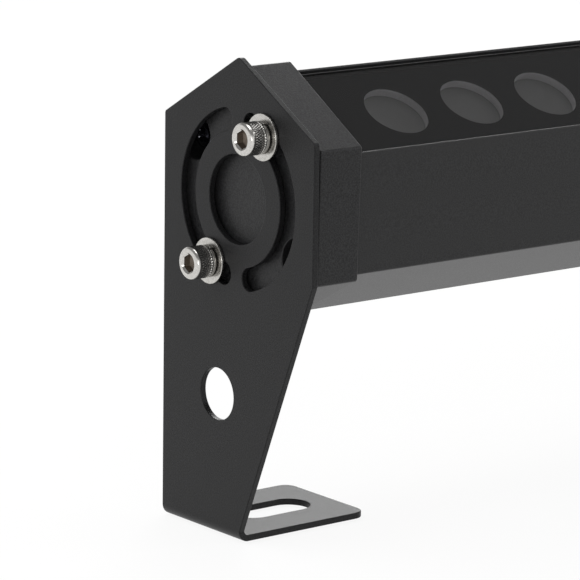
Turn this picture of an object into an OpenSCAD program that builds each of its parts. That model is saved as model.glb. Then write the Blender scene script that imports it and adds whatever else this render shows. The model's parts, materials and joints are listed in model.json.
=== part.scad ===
// Outdoor wall washer light: a hexagonal lamp bar held between two slotted sheet brackets.
// Millimetres. X runs along the bar, +Z is up and -Y is the side that the glass faces.
// The origin is midway between the two anchor slots, on the surface that the feet are bolted to.
// The lamp is drawn in its own frame, whose q axis is the glass normal and whose p axis lies
// across the glass, and is then tipped about the pivot axis.

/* [Lamp] */
// Number of light sources along the bar
led_count = 18; // [8:1:32]
// Distance from one light source to the next
led_pitch = 30; // [27:0.5:40]
// Distance from the first light source to the cap beside it
led_inset = 29.5; // [20:0.5:45]
// Tip of the glass normal towards the front, from straight up
aim_angle = 31.5; // [20:0.5:150]

/* [Housing] */
// Width of the housing across its flats
body_flats = 64.5; // [62:0.5:74]
// Depth of the glass side of the housing below a regular hexagon
glass_side_drop = 1; // [0:0.1:1.5]
// Thickness of the housing walls
wall_t = 2.2; // [1.8:0.1:2.6]
// Thickness of the floor that carries the light sources
web_t = 3; // [2:0.25:4]
// Radius of a screw port
port_r = 5; // [4.7:0.1:5.5]
// Distance from a corner of the housing in to the middle of a screw port
port_inset = 8; // [7.6:0.1:8.4]
// Thickness of each rib that holds the driver board
rib_t = 1.5; // [1:0.1:2]
// Reach of each rib from the wall
rib_reach = 3.4; // [2.5:0.1:4.5]

/* [Glass] */
// Thickness of the glass
glass_t = 4; // [3:0.5:5]
// Depth of the glass below the lips of the housing
glass_recess = 1.3; // [0.8:0.1:2]
// Width of each lip beside the glass
lip_w = 0.8; // [0.6:0.1:1.2]
// Gap on each side of the glass, filled with sealant
glass_gap = 0.5; // [0.3:0.1:1]
// Gap at each end of the glass
glass_end_gap = 0.3; // [0.1:0.1:0.6]
// Width of the ledge under each edge of the glass
ledge_w = 3; // [2.5:0.1:3.5]
// Thickness of the ledge
ledge_t = 2; // [1.5:0.1:2.5]
// Thickness of the soft strip between the ledge and the glass
strip_t = 0.8; // [0.5:0.1:1]

/* [Optics] */
// Radius of a window in the mask
window_r = 10.3; // [9:0.1:10.6]
// Thickness of the mask
mask_t = 2.5; // [1.5:0.1:3]
// Gap between the mask and the glass
mask_gap = 0.2; // [0.1:0.05:0.4]
// Gap on each side of the mask
mask_side_gap = 0.3; // [0.2:0.1:0.6]
// Height of a lens holder
holder_h = 12.9; // [12.9:0.1:13.3]
// Radius of a lens holder
holder_r = 12.2; // [12:0.1:12.8]
// Wall of a lens holder
holder_wall = 1.1; // [0.9:0.1:1.2]
// Height of a lens
lens_h = 11.4; // [10.9:0.1:11.5]
// Thickness of a lens rim
lens_rim_t = 1; // [0.8:0.1:1.3]
// Width of a lens rim beyond its cone
lens_rim_w = 1.2; // [1:0.1:1.4]
// Radius of the foot of a lens
lens_foot_r = 4.4; // [3.6:0.1:5]
// Radius of the pocket in the foot of a lens
lens_pocket_r = 2.4; // [2:0.1:2.8]
// Depth of the pocket in the foot of a lens
lens_pocket_h = 4; // [3:0.1:5]
// Side of a light source
led_side = 3.5; // [3:0.1:4]
// Thickness of the base of a light source
led_base_t = 0.8; // [0.6:0.1:0.9]
// Radius of the dome of a light source
led_dome_r = 1.2; // [1:0.1:1.4]

/* [Light source board] */
// Thickness of the board
board_t = 1.6; // [1:0.1:2]
// Width of the board
board_w = 32; // [30:0.5:34]
// Length of the board beyond the first and last light source
board_end = 14; // [13:0.5:16]
// Light sources from one board screw to the next
screw_every = 3; // [2:1:4]
// Distance of the board screws from the middle of the board
board_screw_p = 11.5; // [11:0.25:12]
// Radius of a board screw
board_screw_r = 1.5; // [1.25:0.05:1.5]
// Radius of the head of a board screw
board_head_r = 2.8; // [2.4:0.1:2.9]
// Height of the head of a board screw
board_head_h = 1.8; // [1.4:0.1:2.2]

/* [Driver] */
// Length of the driver board
driver_len = 210; // [200:5:240]
// Space between the floor of the light sources and the driver board
driver_room = 20.2; // [19:0.2:21]
// Thickness of the driver board
driver_t = 1.6; // [1.2:0.1:2]
// Gap between the driver board and each side wall
driver_side_gap = 0.5; // [0.3:0.1:1]
// Gap between the driver board and each rib
groove_gap = 0.1; // [0.05:0.05:0.2]
// Distance from the driver board to the right end of the housing
driver_inset = 30; // [20:1:50]
// Length of the transformer core
core_len = 28; // [20:1:32]
// Width of the transformer core
core_w = 24; // [20:1:28]
// Height of the transformer core
core_h = 16; // [13:0.5:18]
// Radius of the transformer winding
winding_r = 5.5; // [4:0.25:6]
// Width of the gap through the transformer core
winding_gap_w = 17; // [13:0.5:18]
// Radius of the input capacitor
bulk_cap_r = 7; // [5:0.25:7.5]
// Length of the input capacitor
bulk_cap_len = 25; // [15:1:28]
// Radius of each output capacitor
output_cap_r = 5; // [4:0.25:6]
// Height of each output capacitor
output_cap_h = 16; // [11:0.5:18]
// Radius of the ring of the choke
choke_ring_r = 7; // [5:0.25:8]
// Radius of the wound bundle of the choke
choke_bundle_r = 3.2; // [2:0.1:3.5]
// Length of the film capacitor
film_cap_len = 18; // [13:0.5:20]
// Width of the film capacitor
film_cap_w = 7; // [5:0.5:10]
// Height of the film capacitor
film_cap_h = 12; // [9:0.5:16]
// Length of the heat sink
heat_sink_len = 34; // [26:1:38]
// Thickness of the heat sink
heat_sink_t = 2; // [1.5:0.25:3]
// Height of the heat sink
heat_sink_h = 16; // [14:0.5:18]
// Width of each transistor along the bar
transistor_w = 10; // [8:0.5:12]
// Thickness of each transistor
transistor_t = 4.5; // [3.5:0.25:5]
// Height of each transistor
transistor_h = 14; // [10:0.5:16]
// Length of the terminal block along the bar
terminal_len = 10; // [8:0.5:14]
// Width of the terminal block
terminal_w = 15; // [14:0.5:24]
// Height of the terminal block
terminal_h = 12; // [9:0.5:14]
// Radius of each wire hole in the terminal block
terminal_hole_r = 1.8; // [1:0.1:2.2]
// Radius of a lead wire
lead_r = 1; // [0.7:0.1:1.2]
// Distance from one lead wire to the other
lead_pitch = 5; // [3:0.5:6]
// Middle radius of the bend in a lead wire
lead_bend_r = 3; // [2:0.25:3.5]
// Distance of the lead wires from the middle plane of the lamp
lead_p = 20; // [19.5:0.25:21]
// Length of a lead wire on the board of the light sources
lead_tail = 2.5; // [2:0.25:3]

/* [End caps] */
// Distance by which a cap stands proud of the housing
cap_proud = 2.2; // [1:0.1:3]
// Thickness of a cap along the bar
cap_depth = 15.5; // [13:0.5:18]
// Thickness of the outer wall of a cap
cap_floor = 4.5; // [4:0.25:6]
// Overlap of the cap on the end of the housing
cap_lap = 0.5; // [0.3:0.1:1]
// Gap around the end of the housing in a cap
cap_side_gap = 0.1; // [0.05:0.05:0.2]
// Thickness of the gasket in a cap
gasket_t = 1.5; // [1:0.1:2]
// Radius of the pocket for the head of a cap screw
pocket_r = 7.3; // [6:0.1:7.6]
// Depth of the pocket for the head of a cap screw
pocket_depth = 8; // [6:0.25:9]
// Radius of a cap screw
cap_screw_r = 2.5; // [2:0.1:2.5]
// Length of a cap screw below its head
cap_screw_len = 20; // [18:1:25]
// Radius of the head of a cap screw
cap_head_r = 4.25; // [3.8:0.05:4.5]
// Height of the head of a cap screw
cap_head_h = 5; // [4:0.25:5.5]
// Key size of a cap screw, across flats
cap_key = 4; // [3:0.5:4.5]

/* [Pivot] */
// Height of the pivot axis above the mounting surface
pivot_h = 104.5; // [90:0.5:130]
// Distance from a flat of the housing in to the middle of a pivot bolt
bolt_inset = 8.3; // [8:0.1:9]
// Radius of a pivot bolt
bolt_r = 3; // [2.5:0.1:3]
// Length of a pivot bolt below its head
bolt_len = 16; // [14:0.5:17]
// Radius of the head of a pivot bolt
bolt_head_r = 5; // [4.5:0.1:5.2]
// Height of the head of a pivot bolt
bolt_head_h = 6; // [5:0.25:6.5]
// Key size of a pivot bolt, across flats
bolt_key = 5; // [4:0.5:5]
// Radius of a flat washer
washer_r = 7; // [6.2:0.1:7.5]
// Thickness of a flat washer
washer_t = 1; // [1:0.1:1.6]
// Radius of a spring washer
spring_r = 5.4; // [5:0.1:5.8]
// Thickness of a spring washer
spring_t = 1.4; // [1.2:0.1:2]
// Gap of the split in a spring washer
spring_split = 0.8; // [0.5:0.1:1.2]
// Radius of the pad round a bolt on the cap
pad_r = 6.2; // [5.5:0.1:6.5]
// Radius of the boss inside the cap that takes a bolt
boss_r = 6.2; // [5.5:0.1:6.5]
// Distance between a bracket and the face of the cap
bracket_gap = 1.2; // [0.8:0.1:2]
// Clearance between a bracket and what slides on it
slide_gap = 0.1; // [0.05:0.05:0.2]
// Radial clearance round a threaded shank
thread_gap = 0.05; // [0.02:0.01:0.1]
// Radial clearance round a plain shank
shank_gap = 0.25; // [0.15:0.05:0.4]

/* [Bracket] */
// Width of a bracket plate
plate_w = 72; // [70:1:80]
// Thickness of the sheet
sheet_t = 2; // [1.5:0.25:3]
// Height of the back and front shoulders above the pivot axis
shoulder_up = 21.6; // [18:0.2:25]
// Slope of the two upper edges of a plate
roof_angle = 30; // [25:1:35]
// Depth below the pivot axis at which the front edge starts to slant
slant_start = 20.5; // [15:0.5:30]
// Width of the foot, measured from the back edge of the plate
foot_w = 39; // [34:0.5:50]
// Reach of the foot from the outer face of the plate
foot_len = 49.5; // [40:0.5:60]
// Inner radius of the bend between the plate and the foot
bend_r = 1.5; // [1:0.25:3]
// Radius of the corners of the foot
foot_corner_r = 4; // [2:0.5:6]
// Radius of the top corner of the plate
apex_r = 2; // [1:0.5:5]
// Radius of the shoulders of the plate
shoulder_r = 1; // [0.5:0.5:3]
// Radius of the middle hole
middle_hole_r = 13.5; // [12:0.25:15]
// Width of the arc slots
slot_w = 7; // [6.4:0.1:7.5]
// Angle from straight up to the middle of the first slot's upper end
slot_from = 15; // [12:1:18]
// Angle that the middle of each slot's end runs through
slot_sweep = 150; // [144:1:155]
// Radius of the round cable hole in a plate
cable_hole_r = 8; // [5:0.25:9]
// Distance of the cable hole behind the pivot axis
cable_hole_back = 8.8; // [4:0.1:14]
// Height of the cable hole above the mounting surface
cable_hole_h = 43.8; // [30:0.1:46]
// Width of the slot in the foot
foot_slot_w = 13; // [8:0.5:14]
// Length of the slot in the foot
foot_slot_len = 27.5; // [20:0.5:30]
// Distance from the end of the slot to the end of the foot
foot_slot_end = 8.5; // [6:0.5:10]

/* [Cable gland] */
// Radius of the threaded shank
gland_shank_r = 8; // [7:0.1:8.2]
// Length of the shank inside the cap
gland_shank_len = 10; // [9.5:0.1:10.2]
// Width of the gland body across its flats
gland_flats = 19; // [18:0.5:21]
// Thickness of the hexagon of the gland body
gland_hex_t = 5; // [4:0.25:6]
// Length of the neck that holds the seal
gland_neck_len = 9; // [8:0.25:10]
// Radius of the neck
gland_neck_r = 7.6; // [7.4:0.1:7.8]
// Thickness of the sealing washer under the gland
gland_washer_t = 1.5; // [1:0.1:2]
// Radius of the sealing washer
gland_washer_r = 10.5; // [10:0.1:11]
// Length of the compression nut
gland_nut_len = 12; // [11:0.25:14]
// Radius of the compression nut
gland_nut_r = 9.6; // [9:0.1:10]
// Radius of the dome edge of the compression nut
gland_dome_r = 3; // [2:0.25:3.5]
// Gap between the compression nut and the hexagon
gland_nut_gap = 0.3; // [0.1:0.1:0.5]
// Outer radius of the rubber seal
seal_r = 6.2; // [5.8:0.1:6.4]
// Radius of the hole for the cable
cable_r = 4; // [3:0.1:4.5]
// Width of the lock nut across its flats
lock_nut_flats = 22; // [20:0.5:23]
// Thickness of the lock nut
lock_nut_t = 3; // [2.5:0.25:4]

/* [Hidden] */
$fn = 64;
// Length by which a cutting shape runs past what it cuts
overrun = 1;
// Segments in a rounded corner of an outline
corner_steps = 6;

// Hexagons stand with two flats across q, so their corners lie on p
function corner_of(flats) = flats / 2 / cos(30);
function half_width_at(flats, q) = corner_of(flats) - abs(q) * tan(30);

// Places along the bar, measured inwards from the outer face of a bracket plate
cap_face = sheet_t + bracket_gap;
cap_back = cap_face + cap_depth;
body_start = cap_back - cap_lap;
gasket_start = body_start - gasket_t;
pocket_floor = cap_face + pocket_depth;
stack_out = slide_gap + washer_t + spring_t;

// Places along X
body_len = (led_count - 1) * led_pitch + 2 * (led_inset + cap_lap);
body_left = -body_len / 2;
body_right = body_len / 2;
plate_left = body_left - body_start;
plate_right = body_right + body_start;
first_led = body_left + cap_lap + led_inset;
last_led = first_led + (led_count - 1) * led_pitch;

// Size of the caps, and the circles on which their screws and the pivot bolts lie
cap_flats = body_flats + 2 * cap_proud;
screw_circle_r = corner_of(body_flats) - port_inset;
bolt_circle_r = body_flats / 2 - bolt_inset;

// Heights in the lamp along q
top_q = body_flats / 2 - glass_side_drop;
glass_top = top_q - glass_recess;
glass_bottom = glass_top - glass_t;
seat_q = glass_bottom - strip_t;
ledge_bottom = seat_q - ledge_t;
mask_top = glass_bottom - mask_gap;
mask_bottom = mask_top - mask_t;
board_top = mask_bottom - holder_h;
web_top = board_top - board_t;
web_bottom = web_top - web_t;
driver_top = web_bottom - driver_room;
driver_bottom = driver_top - driver_t;

// Half widths in the lamp along p
channel_half = half_width_at(body_flats, top_q) - lip_w;
glass_half = channel_half - glass_gap;
opening_half = channel_half - ledge_w;
mask_half = opening_half - mask_side_gap;
inner_flats = body_flats - 2 * wall_t;
rib_end = half_width_at(inner_flats, driver_bottom) - rib_reach;
driver_half = half_width_at(inner_flats, driver_bottom) - driver_side_gap;

// Lens
lens_top = mask_bottom - slide_gap;
lens_rim_bottom = lens_top - lens_rim_t;
lens_bottom = lens_top - lens_h;
lens_r = holder_r - holder_wall - slide_gap;
lens_cone_r = lens_r - lens_rim_w;
holder_base_t = holder_wall;
holder_hole_r = lens_foot_r + slide_gap;
holder_step_t = holder_wall;

// Driver
driver_right = body_right - driver_inset;
driver_left = driver_right - driver_len;
lead_x = driver_left + lead_pitch;
lead_hole_r = lead_r + shank_gap;
lead_run_q = board_top + lead_r;

// Bracket, whose places across the bar are measured from the pivot axis
bend_out = bend_r + sheet_t;
plate_back = plate_w / 2;
plate_front = -plate_back;
foot_front = plate_back - foot_w;
apex_up = shoulder_up + plate_back * tan(roof_angle);
foot_slot_r = foot_slot_w / 2;
foot_slot_y = (foot_front + plate_back) / 2;
pivot_y = -foot_slot_y;

// Cable gland, measured outwards from the face of the cap
gland_hex_out = gland_washer_t + gland_hex_t;
gland_neck_out = gland_hex_out + gland_neck_len;
gland_nut_in = gland_hex_out + gland_nut_gap;
gland_nut_out = gland_nut_in + gland_nut_len;

// Frames
module at_left() translate([plate_left, 0, 0]) children();
module at_right() translate([plate_right, 0, 0]) mirror([1, 0, 0]) children();
module lamp_frame() translate([0, pivot_y, pivot_h]) rotate([aim_angle, 0, 0]) children();
// A flat outline in Y and Z, or in p and q, drawn out along X
module along_x(from, len) translate([from, 0, 0]) rotate([90, 0, 90]) linear_extrude(len) children();
module rod_x(from, len, r) translate([from, 0, 0]) rotate([90, 0, 90]) cylinder(r = r, h = len);
module hexagon(flats) circle(r = corner_of(flats), $fn = 6);
module box(low, high) translate(low) cube(high - low);
// The two places of a pair on the p axis or on the q axis
module pair_on_p(d) for (side = [-1, 1]) translate([0, side * d, 0]) children();
module pair_on_q(d) for (side = [-1, 1]) translate([0, 0, side * d]) children();
// The flat form of the same pair on p
module flat_pair(d) for (side = [-1, 1]) translate([side * d, 0]) children();
// One child at each light source, with Z along q
module each_led() for (i = [0 : led_count - 1]) translate([first_led + i * led_pitch, 0, 0]) children();
// One child at each board screw, on alternate sides of the board
module each_board_screw()
    for (i = [0 : screw_every : led_count - 2])
        translate([
            first_led + (i + 0.5) * led_pitch,
            (i / screw_every % 2 == 0 ? 1 : -1) * board_screw_p,
            0
        ]) children();

// Outline with rounded corners: an arc of radius radii[i] replaces corner points[i]
function unit(v) = v / norm(v);
function angle_of(v) = atan2(v[1], v[0]);
function arc_at(before, at, after, r) =
    let (
        to_before = unit(before - at),
        to_after = unit(after - at),
        half = acos(to_before * to_after) / 2,
        centre = at + unit(to_before + to_after) * r / sin(half),
        start = angle_of(at + to_before * r / tan(half) - centre),
        turn = angle_of(at + to_after * r / tan(half) - centre) - start,
        sweep = turn > 180 ? turn - 360 : turn < -180 ? turn + 360 : turn
    )
    [for (k = [0 : corner_steps])
        let (a = start + sweep * k / corner_steps) centre + r * [cos(a), sin(a)]];
function rounded(points, radii) =
    let (n = len(points))
    [for (i = [0 : n - 1])
        each radii[i] > 0
            ? arc_at(points[(i + n - 1) % n], points[i], points[(i + 1) % n], radii[i])
            : [points[i]]];

// Bracket, drawn at the left end with the outer face of its plate at X 0
module bracket() translate([0, pivot_y, 0]) {
    difference() {
        union() {
            along_x(0, sheet_t) polygon(rounded(
                [
                    [plate_back, bend_out],
                    [plate_back, pivot_h + shoulder_up],
                    [0, pivot_h + apex_up],
                    [plate_front, pivot_h + shoulder_up],
                    [plate_front, pivot_h - slant_start],
                    [foot_front, bend_out]
                ],
                [0, shoulder_r, apex_r, shoulder_r, shoulder_r, 0]));
            bend();
            linear_extrude(sheet_t) polygon(rounded(
                [
                    [bend_out, foot_front],
                    [foot_len, foot_front],
                    [foot_len, plate_back],
                    [bend_out, plate_back]
                ],
                [0, foot_corner_r, foot_corner_r, 0]));
        }
        translate([0, 0, pivot_h]) {
            rod_x(-overrun, sheet_t + 2 * overrun, middle_hole_r);
            for (half_turn = [0, 180]) rotate([half_turn, 0, 0]) arc_slot();
        }
        translate([0, cable_hole_back, cable_hole_h])
            rod_x(-overrun, sheet_t + 2 * overrun, cable_hole_r);
        foot_slot();
    }
}
module bend()
    translate([bend_out, plate_back, bend_out])
        rotate([90, 0, 0]) rotate([0, 0, 180]) rotate_extrude(angle = 90)
            translate([bend_r, 0]) square([sheet_t, foot_w]);
// The slot follows the bolt circle, and its angles start at the top and turn to the front
module arc_slot() {
    translate([-overrun, 0, 0]) rotate([90, 0, 90]) rotate([0, 0, 90 + slot_from])
        rotate_extrude(angle = slot_sweep)
            translate([bolt_circle_r - slot_w / 2, 0]) square([slot_w, sheet_t + 2 * overrun]);
    for (a = [slot_from, slot_from + slot_sweep])
        rotate([a, 0, 0]) translate([0, 0, bolt_circle_r])
            rod_x(-overrun, sheet_t + 2 * overrun, slot_w / 2);
}
module foot_slot() {
    last = foot_len - foot_slot_end - foot_slot_r;
    first = last - (foot_slot_len - foot_slot_w);
    for (x = [first, last])
        translate([x, foot_slot_y, -overrun]) cylinder(r = foot_slot_r, h = sheet_t + 2 * overrun);
    box([first, foot_slot_y - foot_slot_r, -overrun],
        [last, foot_slot_y + foot_slot_r, sheet_t + overrun]);
}
module bracket_left() color("#3b3b3d") at_left() bracket();
module bracket_right() color("#3b3b3d") at_right() bracket();

// Cap, drawn at the left end in the frame of the lamp
module cap() {
    difference() {
        union() {
            along_x(cap_face, cap_depth) hexagon(cap_flats);
            pair_on_q(bolt_circle_r) rod_x(sheet_t + slide_gap, bracket_gap, pad_r);
        }
        along_x(cap_face + cap_floor, cap_depth) cap_hollow();
        along_x(gasket_start, cap_depth) hexagon(body_flats + 2 * cap_side_gap);
        pair_on_q(bolt_circle_r) rod_x(0, bolt_len - stack_out + overrun, bolt_r + thread_gap);
        pair_on_p(screw_circle_r) {
            rod_x(cap_face - overrun, pocket_depth + overrun, pocket_r);
            rod_x(cap_face, cap_depth + overrun, cap_screw_r + shank_gap);
        }
    }
}
// The space in a cap leaves the bolt bosses, the screw columns and a bar behind the glass end
module cap_hollow() difference() {
    hexagon(inner_flats);
    for (side = [-1, 1]) translate([0, side * bolt_circle_r]) circle(boss_r);
    flat_pair(screw_circle_r) circle(pocket_r + wall_t);
    glass_end_bar();
}
module glass_end_bar()
    translate([-channel_half, ledge_bottom]) square([2 * channel_half, top_q - ledge_bottom]);
module end_cap_left() color("#424244") at_left() lamp_frame() cap();
module end_cap_right() color("#424244") at_right() lamp_frame() difference() {
    cap();
    rod_x(0, cap_back, gland_shank_r + thread_gap);
}

module gasket()
    along_x(gasket_start, gasket_t) difference() {
        housing_outline();
        difference() {
            hexagon(inner_flats);
            flat_pair(screw_circle_r) circle(port_r);
            glass_end_bar();
        }
        flat_pair(screw_circle_r) circle(cap_screw_r + shank_gap);
    }
module cap_gasket_left() color("#1c1c1e") at_left() lamp_frame() gasket();
module cap_gasket_right() color("#1c1c1e") at_right() lamp_frame() gasket();

// Socket head screw with the underside of its head at X 0 and its shank towards +X
module socket_screw(shank_r, shank_len, head_r, head_h, key) difference() {
    union() {
        rod_x(0, shank_len, shank_r);
        rod_x(-head_h, head_h, head_r);
    }
    along_x(-head_h - overrun, head_h / 2 + overrun) hexagon(key);
}
module cap_screw_pair()
    pair_on_p(screw_circle_r) translate([pocket_floor, 0, 0])
        socket_screw(cap_screw_r, cap_screw_len, cap_head_r, cap_head_h, cap_key);
module cap_screws_left() color("#202022") at_left() lamp_frame() cap_screw_pair();
module cap_screws_right() color("#202022") at_right() lamp_frame() cap_screw_pair();

module pivot_bolt_pair()
    pair_on_q(bolt_circle_r) translate([-stack_out, 0, 0])
        socket_screw(bolt_r, bolt_len, bolt_head_r, bolt_head_h, bolt_key);
module pivot_bolts_left() color("#c9c9c6") at_left() lamp_frame() pivot_bolt_pair();
module pivot_bolts_right() color("#c9c9c6") at_right() lamp_frame() pivot_bolt_pair();

module washer(from, len, r) difference() {
    rod_x(from, len, r);
    rod_x(from - overrun, len + 2 * overrun, bolt_r + shank_gap);
}
module spring_washer_pair()
    pair_on_q(bolt_circle_r) difference() {
        washer(-stack_out, spring_t, spring_r);
        box([-stack_out - overrun, -spring_split / 2, 0],
            [overrun - stack_out + spring_t, spring_split / 2, spring_r + overrun]);
    }
module spring_washers_left() color("#b9b9b6") at_left() lamp_frame() spring_washer_pair();
module spring_washers_right() color("#b9b9b6") at_right() lamp_frame() spring_washer_pair();
module flat_washer_pair()
    pair_on_q(bolt_circle_r) washer(-slide_gap - washer_t, washer_t, washer_r);
module flat_washers_left() color("#cfcfcc") at_left() lamp_frame() flat_washer_pair();
module flat_washers_right() color("#cfcfcc") at_right() lamp_frame() flat_washer_pair();

// Housing
module housing_outline() difference() {
    hexagon(body_flats);
    translate([-body_flats, top_q]) square(2 * body_flats);
}
module housing_profile() difference() {
    housing_outline();
    difference() {
        hexagon(inner_flats);
        translate([-body_flats, web_bottom]) square([2 * body_flats, web_t]);
        translate([-body_flats, ledge_bottom]) square([2 * body_flats, body_flats]);
        flat_pair(screw_circle_r) circle(port_r);
        for (side = [0, 1]) mirror([side, 0]) {
            translate([rib_end, driver_bottom - groove_gap - rib_t]) square([body_flats, rib_t]);
            translate([rib_end, driver_top + groove_gap]) square([body_flats, rib_t]);
        }
    }
    translate([-opening_half, ledge_bottom - overrun])
        square([2 * opening_half, top_q - ledge_bottom + 2 * overrun]);
    translate([-channel_half, seat_q]) square([2 * channel_half, top_q - seat_q + overrun]);
    flat_pair(screw_circle_r) circle(cap_screw_r + thread_gap);
}
module housing_extrusion() color("#414143") lamp_frame() difference() {
    along_x(body_left, body_len) housing_profile();
    each_board_screw() translate([0, 0, web_bottom - overrun])
        cylinder(r = board_screw_r + thread_gap, h = web_t + 2 * overrun);
    for (x = [0, lead_pitch]) translate([lead_x + x, lead_p, web_bottom - overrun])
        cylinder(r = lead_hole_r, h = web_t + 2 * overrun);
}

// Glass and its seals
module front_glass() color("#202224", 0.5) lamp_frame()
    box([body_left + glass_end_gap, -glass_half, glass_bottom],
        [body_right - glass_end_gap, glass_half, glass_top]);
module glass_strips() color("#18181a") lamp_frame()
    for (side = [0, 1]) mirror([0, side, 0])
        box([body_left, opening_half, seat_q], [body_right, glass_half, glass_bottom]);
module glass_sealant() color("#1a1a1c") lamp_frame()
    for (side = [0, 1]) mirror([0, side, 0])
        box([body_left, glass_half, seat_q], [body_right, channel_half, glass_top]);

// Mask with one round window over each lens
module window_mask() color("#262628") lamp_frame() difference() {
    box([body_left, -mask_half, mask_bottom], [body_right, mask_half, mask_top]);
    each_led() translate([0, 0, mask_bottom - overrun])
        cylinder(r = window_r, h = mask_t + 2 * overrun);
}

// Lens: a solid cone with a rim, and a pocket over the light source
module lenses() color("#6a6866", 0.7) lamp_frame() each_led() rotate_extrude() polygon([
    [0, lens_bottom + lens_pocket_h],
    [lens_pocket_r, lens_bottom + lens_pocket_h],
    [lens_pocket_r, lens_bottom],
    [lens_foot_r, lens_bottom],
    [lens_cone_r, lens_rim_bottom],
    [lens_r, lens_rim_bottom],
    [lens_r, lens_top],
    [0, lens_top]
]);
// Holder: a cup that stands on the board, with a step under the rim of the lens
module lens_holders() color("#1e1e20") lamp_frame() each_led() rotate_extrude() polygon([
    [holder_hole_r, board_top],
    [holder_r, board_top],
    [holder_r, mask_bottom],
    [lens_r + slide_gap, mask_bottom],
    [lens_r + slide_gap, lens_rim_bottom],
    [lens_cone_r + slide_gap, lens_rim_bottom],
    [lens_cone_r + slide_gap, lens_rim_bottom - holder_step_t],
    [lens_r + slide_gap, lens_rim_bottom - 2 * holder_step_t],
    [lens_r + slide_gap, board_top + holder_base_t],
    [holder_hole_r, board_top + holder_base_t]
]);
module led_packages() color("#e8dfae") lamp_frame() each_led() translate([0, 0, board_top]) {
    box([-led_side / 2, -led_side / 2, 0], [led_side / 2, led_side / 2, led_base_t]);
    translate([0, 0, led_base_t]) rotate_extrude()
        intersection() {
            circle(led_dome_r);
            square(led_dome_r);
        }
}
module led_board() color("#dcdcd8") lamp_frame() difference() {
    box([first_led - board_end, -board_w / 2, web_top], [last_led + board_end, board_w / 2, board_top]);
    each_board_screw() translate([0, 0, web_top - overrun])
        cylinder(r = board_screw_r + thread_gap, h = board_t + 2 * overrun);
}
module board_screws() color("#b4b4b0") lamp_frame() each_board_screw() {
    translate([0, 0, web_bottom]) cylinder(r = board_screw_r, h = web_t + board_t);
    translate([0, 0, board_top]) cylinder(r = board_head_r, h = board_head_h);
}

// Driver board and what stands on it, from its left end to its right end
// Shares of the board length at which the parts stand, chosen by hand
output_cap_shares = [0.12, 0.19];
choke_share = 0.29;
transformer_share = 0.44;
heat_sink_share = 0.62;
bulk_cap_share = 0.66;
film_cap_share = 0.82;
terminal_share = 0.95;
// Share of the half width by which the heat sink and the capacitor stand off the middle
side_share = 0.5;
function driver_x(share) = driver_left + share * driver_len;
module on_driver(share, side = 0)
    translate([driver_x(share), side * side_share * driver_half, driver_top]) children();
// A block centred on its place, standing on the board
module block(len, w, h) translate([-len / 2, -w / 2, 0]) cube([len, w, h]);
module driver_board() color("#2e5a3c") lamp_frame()
    box([driver_left, -driver_half, driver_bottom], [driver_right, driver_half, driver_top]);
module transformer() color("#4a4440") lamp_frame() on_driver(transformer_share) difference() {
    block(core_len, core_w, core_h);
    translate([0, 0, core_h / 2 - winding_r])
        block(core_len + 2 * overrun, winding_gap_w, 2 * winding_r);
}
module transformer_winding() color("#b98a3a") lamp_frame() on_driver(transformer_share)
    translate([0, 0, core_h / 2]) rod_x(-core_len / 2, core_len, winding_r);
module capacitors() color("#2a2f3a") lamp_frame() {
    for (share = output_cap_shares) on_driver(share) cylinder(r = output_cap_r, h = output_cap_h);
    on_driver(bulk_cap_share, -1) translate([0, 0, bulk_cap_r])
        rod_x(-bulk_cap_len / 2, bulk_cap_len, bulk_cap_r);
}
module choke() color("#b5793a") lamp_frame() on_driver(choke_share)
    translate([0, 0, choke_bundle_r]) rotate_extrude()
        translate([choke_ring_r, 0]) circle(choke_bundle_r);
module film_capacitor() color("#c9a24a") lamp_frame()
    on_driver(film_cap_share) block(film_cap_len, film_cap_w, film_cap_h);
module heat_sink() color("#b8bcc0") lamp_frame()
    on_driver(heat_sink_share, 1) block(heat_sink_len, heat_sink_t, heat_sink_h);
module transistors() color("#1b1b1d") lamp_frame() on_driver(heat_sink_share, 1)
    for (side = [-1, 1])
        translate([side * heat_sink_len / 4, -(heat_sink_t + transistor_t) / 2, 0])
            block(transistor_w, transistor_t, transistor_h);
module terminal_block() color("#2f6f4a") lamp_frame() on_driver(terminal_share) difference() {
    block(terminal_len, terminal_w, terminal_h);
    for (k = [-1, 0, 1]) translate([0, k * terminal_w / 3, terminal_h / 2])
        rod_x(-terminal_len, 2 * terminal_len, terminal_hole_r);
}
// Each lead stands on the driver board, rises through the web and turns on to the other board
module lead_wires() color("#b03030") lamp_frame()
    for (x = [0, lead_pitch]) translate([lead_x + x, lead_p, 0]) {
        translate([0, 0, driver_top]) cylinder(r = lead_r, h = lead_run_q - lead_bend_r - driver_top);
        translate([0, -lead_bend_r, lead_run_q - lead_bend_r]) rotate([90, 0, 90])
            rotate_extrude(angle = 90) translate([lead_bend_r, 0]) circle(lead_r);
        translate([0, -lead_bend_r, lead_run_q]) rotate([90, 0, 0])
            cylinder(r = lead_r, h = lead_p - lead_bend_r - board_w / 2 + lead_tail);
    }

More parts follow.
